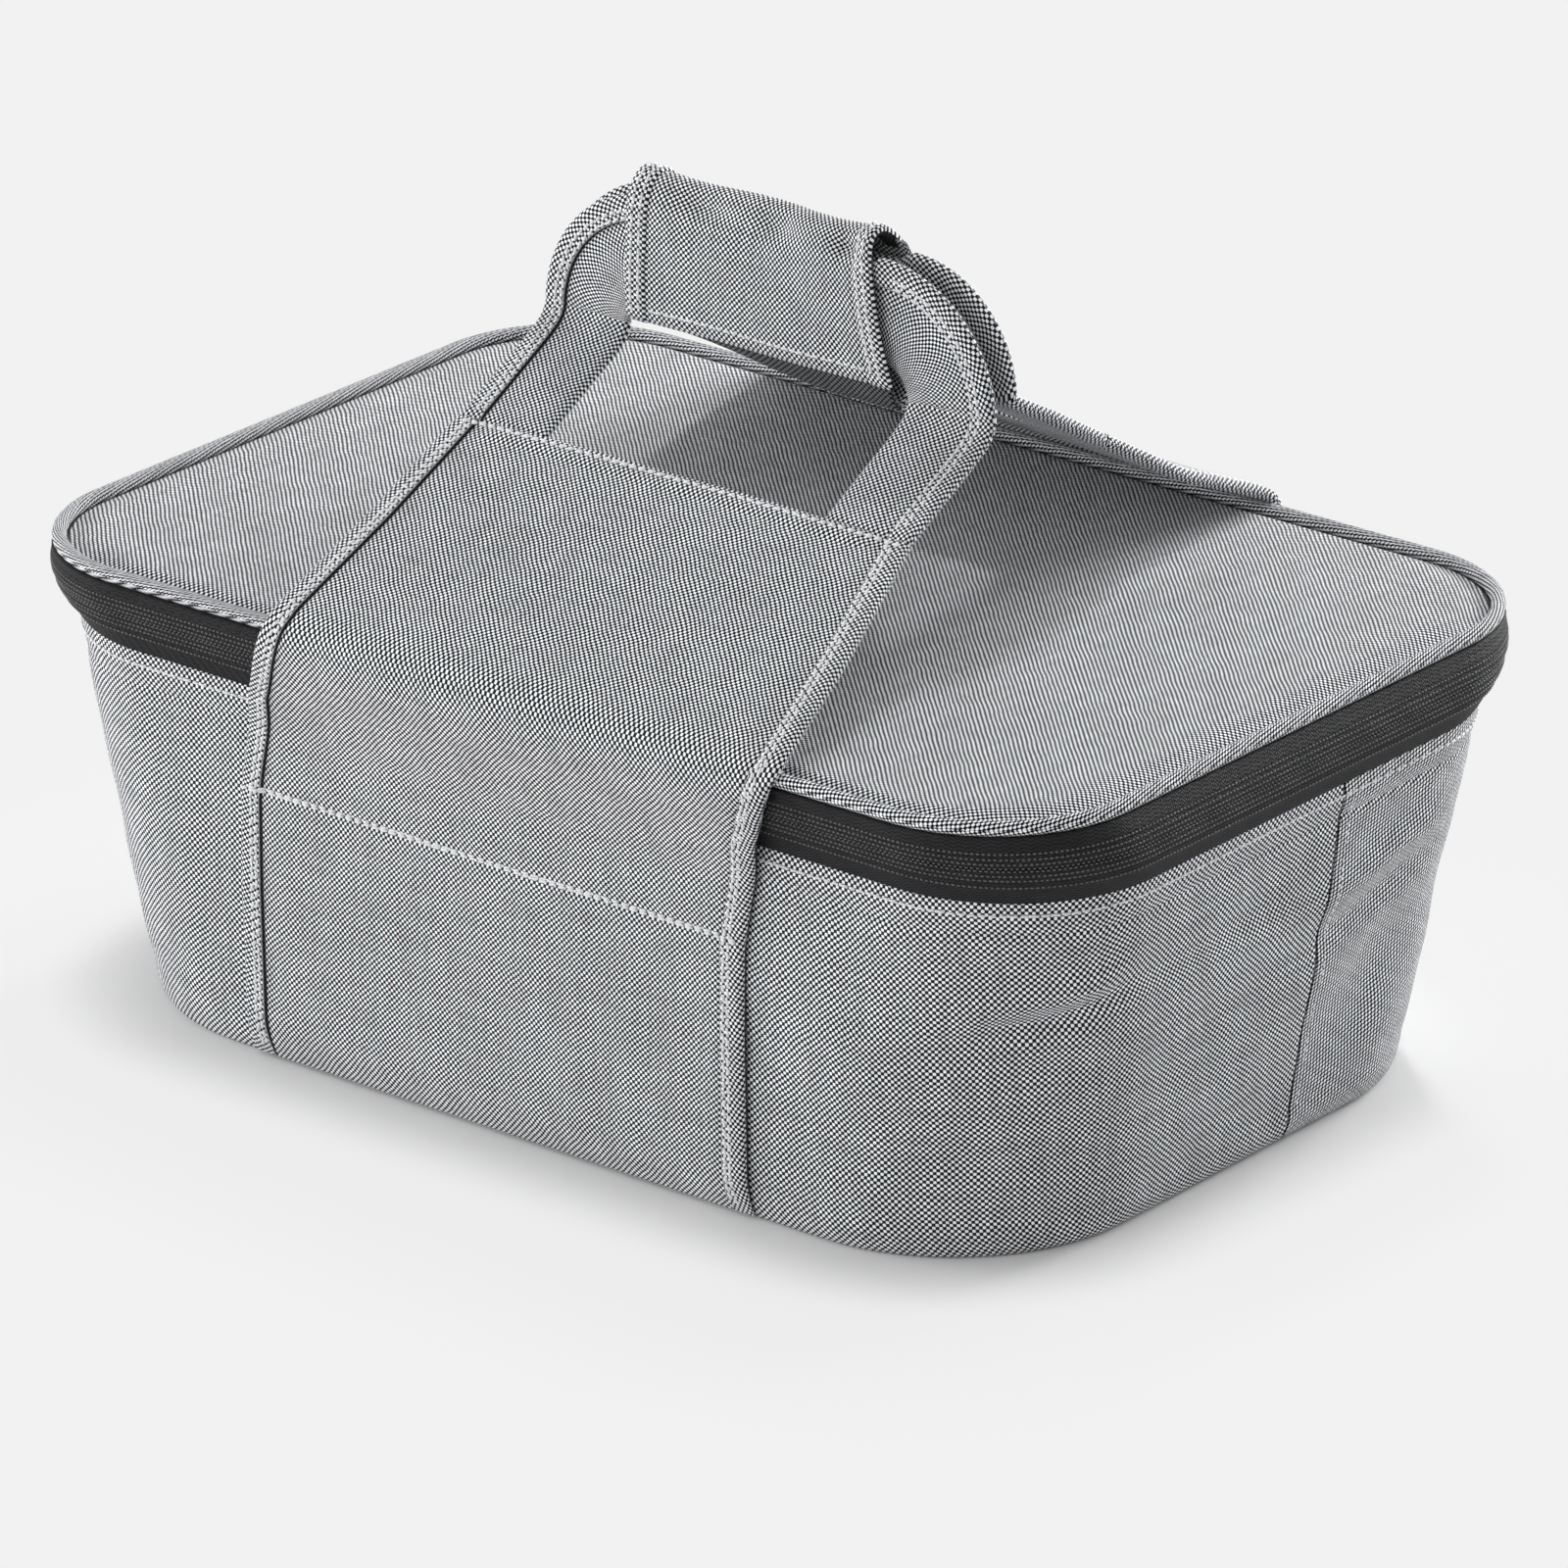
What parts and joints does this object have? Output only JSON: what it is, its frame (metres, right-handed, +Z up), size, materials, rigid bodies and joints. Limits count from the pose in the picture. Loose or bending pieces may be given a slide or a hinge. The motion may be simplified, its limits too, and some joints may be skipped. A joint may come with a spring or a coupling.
{
  "type": "casserole carrier",
  "caption": "Soft insulated carrier bag for a covered casserole, with a zipped lid and two wide straps that meet in one padded carrying grip.",
  "frame": {"origin": "centre of the flat base, on the table", "axes": "+X along the long side, to the right when the front strap faces the viewer; +Y to the rear, where the lid hinges; +Z up"},
  "size_m": [0.4313, 0.289, 0.2755],
  "materials": {
    "woven_cloth": "black and white plain weave, matte",
    "padding": "closed-cell foam, matte",
    "foil_liner": "wipe-clean silver film, satin",
    "black_tape": "black woven tape, matte",
    "zip_coil": "black nylon coil, satin",
    "stiff_board": "dark plastic board, matte",
    "dark_metal": "dark plated zinc, semi-gloss"
  },
  "bodies": {
    "carrier": {"base_panel": "woven_cloth", "base_board": "stiff_board", "base_foam": "padding", "front_wall_panel": "woven_cloth", "rear_wall_panel": "woven_cloth", "front_wall_foam": "padding", "rear_wall_foam": "padding", "liner_tub": "foil_liner", "rim_binding": "black_tape", "lower_zip_tape": "black_tape", "lower_zip_coil": "zip_coil", "rear_hinge_tape": "woven_cloth", "zip_stop_left": "dark_metal", "zip_stop_right": "dark_metal", "front_anchor_lining": "woven_cloth", "front_anchor_core": "padding", "front_anchor_face": "woven_cloth", "rear_anchor_lining": "woven_cloth", "rear_anchor_core": "padding", "rear_anchor_face": "woven_cloth"},
    "lid": {"lid_panel": "woven_cloth", "lid_foam": "padding", "lid_liner": "foil_liner", "lid_piping": "woven_cloth", "upper_zip_tape": "black_tape", "upper_zip_coil": "zip_coil"},
    "front_strap": {"front_strap_lining": "woven_cloth", "front_strap_core": "padding", "front_strap_face": "woven_cloth", "front_handle_lining": "woven_cloth", "front_handle_core": "padding", "front_handle_face": "woven_cloth"},
    "rear_strap": {"rear_strap_lining": "woven_cloth", "rear_strap_core": "padding", "rear_strap_face": "woven_cloth", "rear_handle_lining": "woven_cloth", "rear_handle_core": "padding", "rear_handle_face": "woven_cloth", "grip_wrap": "woven_cloth", "grip_pad": "padding", "loop_strip": "black_tape"},
    "grip": {"grip_flap": "woven_cloth", "hook_strip": "black_tape"},
    "slider_front": {"front_slider": "dark_metal"},
    "slider_rear": {"rear_slider": "dark_metal"},
    "pull_front": {"front_pull": "dark_metal"},
    "pull_rear": {"rear_pull": "dark_metal"}
  },
  "joints": [
    {"name": "lid_hinge", "type": "hinge", "parent": "carrier", "child": "lid", "pos_m": [0, 0.1399, 0.14064], "axis": [-1, 0, 0], "range_deg": [0, 105], "deforming": ["front_strap_lining", "front_strap_core", "front_strap_face", "front_handle_lining", "front_handle_core", "front_handle_face", "rear_strap_lining", "rear_strap_core", "rear_strap_face", "rear_handle_lining", "rear_handle_core", "rear_handle_face", "grip_wrap", "grip_pad", "loop_strip", "grip_flap", "hook_strip", "rear_hinge_tape"]},
    {"name": "front_strap_swing", "type": "hinge", "parent": "carrier", "child": "front_strap", "pos_m": [0, -0.1336, 0.0949], "axis": [1, 0, 0], "range_deg": [0, 140]},
    {"name": "rear_strap_swing", "type": "hinge", "parent": "carrier", "child": "rear_strap", "pos_m": [0, 0.1336, 0.0949], "axis": [-1, 0, 0], "range_deg": [0, 140]},
    {"name": "grip_flap_lift", "type": "hinge", "parent": "rear_strap", "child": "grip", "pos_m": [0, 0.0126, 0.267], "axis": [-1, 0, 0], "range_deg": [0, 85]},
    {"name": "slider_front_slide", "type": "slide", "parent": "carrier", "child": "slider_front", "axis": [0, -1, 0], "range_m": [0, 0.062]},
    {"name": "slider_rear_slide", "type": "slide", "parent": "carrier", "child": "slider_rear", "axis": [0, 1, 0], "range_m": [0, 0.062]},
    {"name": "pull_front_swing", "type": "hinge", "parent": "slider_front", "child": "pull_front", "pos_m": [-0.21721, -0.009, 0.14064], "axis": [0, 1, 0], "range_deg": [0, 150]},
    {"name": "pull_rear_swing", "type": "hinge", "parent": "slider_rear", "child": "pull_rear", "pos_m": [-0.21721, 0.009, 0.14064], "axis": [0, 1, 0], "range_deg": [0, 150]}
  ],
  "couplings": [
    {"joint": "front_strap_swing", "follows": "lid_hinge", "ratio": 1.333},
    {"joint": "rear_strap_swing", "follows": "lid_hinge", "ratio": 1.333},
    {"joint": "grip_flap_lift", "follows": "lid_hinge", "ratio": 0.809}
  ]
}
